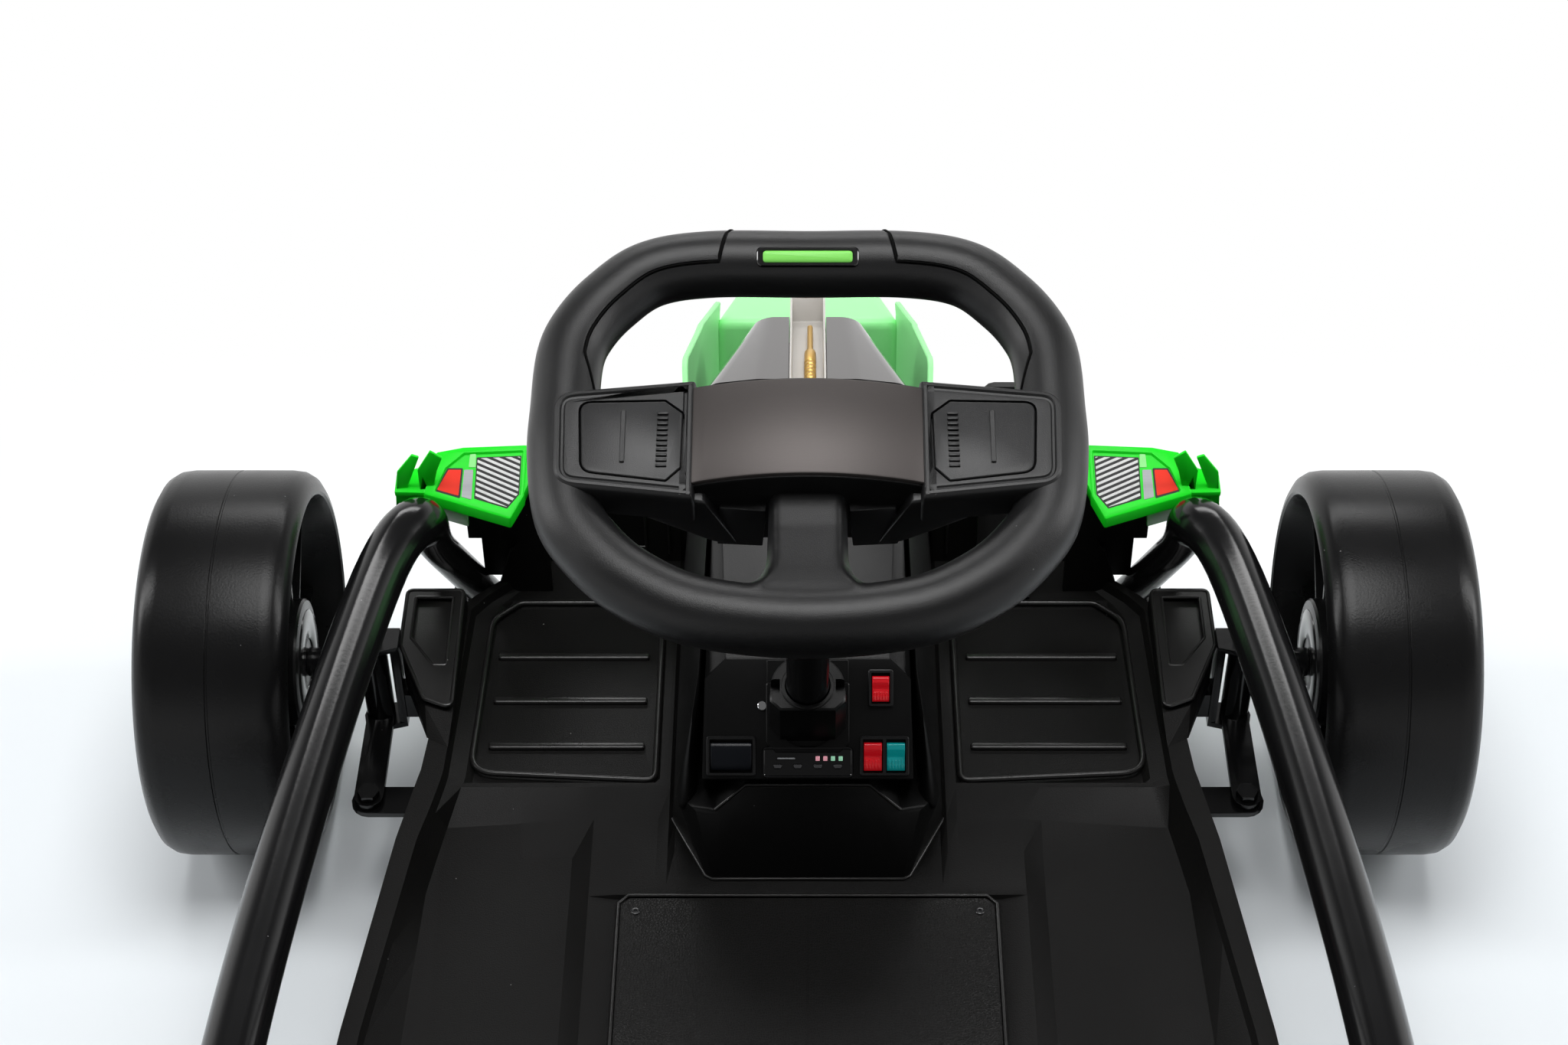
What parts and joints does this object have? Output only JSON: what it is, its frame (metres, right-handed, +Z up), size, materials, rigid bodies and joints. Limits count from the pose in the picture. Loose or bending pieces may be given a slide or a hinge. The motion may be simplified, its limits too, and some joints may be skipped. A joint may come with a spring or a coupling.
{
  "type": "kids electric drift go-kart",
  "caption": "Low electric ride-on kart with a steered front axle, flat-topped wheel on a console column, floor tray with footwells, side bars and bucket seat.",
  "frame": {"origin": "on the ground, midway along the length and the width", "axes": "+Y forward, +X to the driver's right, +Z up"},
  "size_m": [0.795, 1.2195, 0.5667],
  "materials": {
    "gloss_black_steel": "gloss powder coat",
    "satin_black_plastic": "satin",
    "matt_black_tray": "matt, fine grain",
    "grip_black_plastic": "satin",
    "dark_metallic_plastic": "dark metallic paint",
    "bright_green_plastic": "gloss",
    "wheel_black": "satin",
    "zinc_steel": "zinc plated",
    "red_switch": "gloss",
    "teal_switch": "gloss",
    "light_green": "satin",
    "yellow_plastic": "satin",
    "battery_grey": "matt",
    "gearbox_black": "matt",
    "seat_black": "satin",
    "leather_black": "leather grain"
  },
  "bodies": {
    "chassis": {"main_rail_left": "gloss_black_steel", "main_rail_right": "gloss_black_steel", "front_subframe": "gloss_black_steel", "front_axle_beam": "gloss_black_steel", "rear_frame": "gloss_black_steel", "side_bar_left": "gloss_black_steel", "side_bar_right": "gloss_black_steel", "front_bumper": "gloss_black_steel", "rear_bumper": "gloss_black_steel", "kingpin_left": "zinc_steel", "kingpin_right": "zinc_steel", "floor_tray": "matt_black_tray", "battery_cover": "leather_black", "battery_tub": "satin_black_plastic", "battery_pack": "battery_grey", "console_body": "satin_black_plastic", "console_panel": "satin_black_plastic", "column_collar": "gloss_black_steel", "power_switch_bezel": "satin_black_plastic", "horn_switch_bezel": "satin_black_plastic", "drive_switch_bezel": "satin_black_plastic", "display_module": "satin_black_plastic", "pedal_bracket": "gloss_black_steel", "nose_fairing": "dark_metallic_plastic", "nose_spine": "satin_black_plastic", "nose_damper": "yellow_plastic", "nose_surround": "bright_green_plastic", "front_wing_left": "bright_green_plastic", "front_wing_right": "bright_green_plastic", "seat_base": "satin_black_plastic", "rear_axle": "zinc_steel", "gearbox_left": "gearbox_black", "gearbox_right": "gearbox_black", "drive_motor_left": "zinc_steel", "drive_motor_right": "zinc_steel"},
    "steering_column": {"steering_shaft": "gloss_black_steel", "steering_wheel": "grip_black_plastic", "wheel_light_bar": "light_green", "wheel_hub_cover": "dark_metallic_plastic"},
    "left_thumb_pad": {"thumb_pad_left": "grip_black_plastic"},
    "right_thumb_pad": {"thumb_pad_right": "grip_black_plastic"},
    "left_knuckle": {"steering_knuckle_left": "gloss_black_steel", "tie_bolt_left": "zinc_steel"},
    "right_knuckle": {"steering_knuckle_right": "gloss_black_steel", "tie_bolt_right": "zinc_steel"},
    "tie_link": {"tie_bar": "gloss_black_steel"},
    "front_left_wheel": {"front_wheel_left": "wheel_black"},
    "front_right_wheel": {"front_wheel_right": "wheel_black"},
    "rear_left_wheel": {"rear_wheel_left": "wheel_black"},
    "rear_right_wheel": {"rear_wheel_right": "wheel_black"},
    "accelerator": {"accelerator_pedal": "satin_black_plastic"},
    "power_key": {"power_rocker": "red_switch"},
    "horn_key": {"horn_rocker": "satin_black_plastic"},
    "direction_key": {"direction_rocker": "red_switch"},
    "speed_key": {"speed_rocker": "teal_switch"},
    "button_1": {"display_button_1": "satin_black_plastic"},
    "button_2": {"display_button_2": "satin_black_plastic"},
    "button_3": {"display_button_3": "satin_black_plastic"},
    "button_4": {"display_button_4": "satin_black_plastic"},
    "seat": {"seat_shell": "seat_black"}
  },
  "joints": [
    {"name": "steering_turn", "type": "hinge", "parent": "chassis", "child": "steering_column", "pos_m": [0, 0.1838, 0.2018], "axis": [0, -0.2588, 0.9659], "range_deg": [-36, 36]},
    {"name": "left_knuckle_turn", "type": "hinge", "parent": "chassis", "child": "left_knuckle", "pos_m": [-0.2715, 0.3, 0.12], "axis": [0, 0, 1], "range_deg": [-18, 18]},
    {"name": "right_knuckle_turn", "type": "hinge", "parent": "chassis", "child": "right_knuckle", "pos_m": [0.2715, 0.3, 0.12], "axis": [0, 0, 1], "range_deg": [-18, 18]},
    {"name": "tie_link_turn", "type": "hinge", "parent": "left_knuckle", "child": "tie_link", "pos_m": [-0.2715, 0.2285, 0.0692], "axis": [0, 0, 1], "range_deg": [-18, 18]},
    {"name": "front_left_wheel_spin", "type": "hinge", "parent": "left_knuckle", "child": "front_left_wheel", "pos_m": [-0.3515, 0.3, 0.12], "axis": [1, 0, 0], "continuous": true},
    {"name": "front_right_wheel_spin", "type": "hinge", "parent": "right_knuckle", "child": "front_right_wheel", "pos_m": [0.3515, 0.3, 0.12], "axis": [1, 0, 0], "continuous": true},
    {"name": "rear_left_wheel_spin", "type": "hinge", "parent": "chassis", "child": "rear_left_wheel", "pos_m": [-0.3515, -0.46, 0.12], "axis": [1, 0, 0], "continuous": true},
    {"name": "rear_right_wheel_spin", "type": "hinge", "parent": "chassis", "child": "rear_right_wheel", "pos_m": [0.3515, -0.46, 0.12], "axis": [1, 0, 0], "continuous": true},
    {"name": "accelerator_press", "type": "hinge", "parent": "chassis", "child": "accelerator", "pos_m": [0.126, 0.3705, 0.1205], "axis": [-1, 0, 0], "range_deg": [0, 10], "stiffness_Nm_per_rad": 1.2, "springref_deg": -14.32},
    {"name": "left_pad_press", "type": "slide", "parent": "steering_column", "child": "left_thumb_pad", "axis": [0, 0.2588, -0.9659], "range_m": [0, 0.0015], "stiffness_N_per_m": 700, "springref_m": -0.001},
    {"name": "right_pad_press", "type": "slide", "parent": "steering_column", "child": "right_thumb_pad", "axis": [0, 0.2588, -0.9659], "range_m": [0, 0.0015], "stiffness_N_per_m": 700, "springref_m": -0.001},
    {"name": "power_rock", "type": "hinge", "parent": "chassis", "child": "power_key", "pos_m": [0.042, 0.19478, 0.20854], "axis": [1, 0, 0], "range_deg": [-18, 0]},
    {"name": "direction_rock", "type": "hinge", "parent": "chassis", "child": "direction_key", "pos_m": [0.03748, 0.16721, 0.18097], "axis": [1, 0, 0], "range_deg": [-18, 0]},
    {"name": "speed_rock", "type": "hinge", "parent": "chassis", "child": "speed_key", "pos_m": [0.05072, 0.16721, 0.18097], "axis": [1, 0, 0], "range_deg": [-18, 0]},
    {"name": "horn_rock", "type": "hinge", "parent": "chassis", "child": "horn_key", "pos_m": [-0.0441, 0.16721, 0.18097], "axis": [1, 0, 0], "range_deg": [-18, 0], "stiffness_Nm_per_rad": 0.08, "springref_deg": 8.59},
    {"name": "button_1_press", "type": "slide", "parent": "chassis", "child": "button_1", "axis": [0, 0.7071, -0.7071], "range_m": [0, 0.0008], "stiffness_N_per_m": 500, "springref_m": -0.0006},
    {"name": "button_2_press", "type": "slide", "parent": "chassis", "child": "button_2", "axis": [0, 0.7071, -0.7071], "range_m": [0, 0.0008], "stiffness_N_per_m": 500, "springref_m": -0.0006},
    {"name": "button_3_press", "type": "slide", "parent": "chassis", "child": "button_3", "axis": [0, 0.7071, -0.7071], "range_m": [0, 0.0008], "stiffness_N_per_m": 500, "springref_m": -0.0006},
    {"name": "button_4_press", "type": "slide", "parent": "chassis", "child": "button_4", "axis": [0, 0.7071, -0.7071], "range_m": [0, 0.0008], "stiffness_N_per_m": 500, "springref_m": -0.0006},
    {"name": "seat_slide", "type": "slide", "parent": "chassis", "child": "seat", "axis": [0, 1, 0], "range_m": [-0.03, 0.03]}
  ],
  "couplings": [
    {"joint": "left_knuckle_turn", "follows": "steering_turn", "ratio": 0.5},
    {"joint": "right_knuckle_turn", "follows": "steering_turn", "ratio": 0.5},
    {"joint": "tie_link_turn", "follows": "steering_turn", "ratio": -0.5}
  ]
}
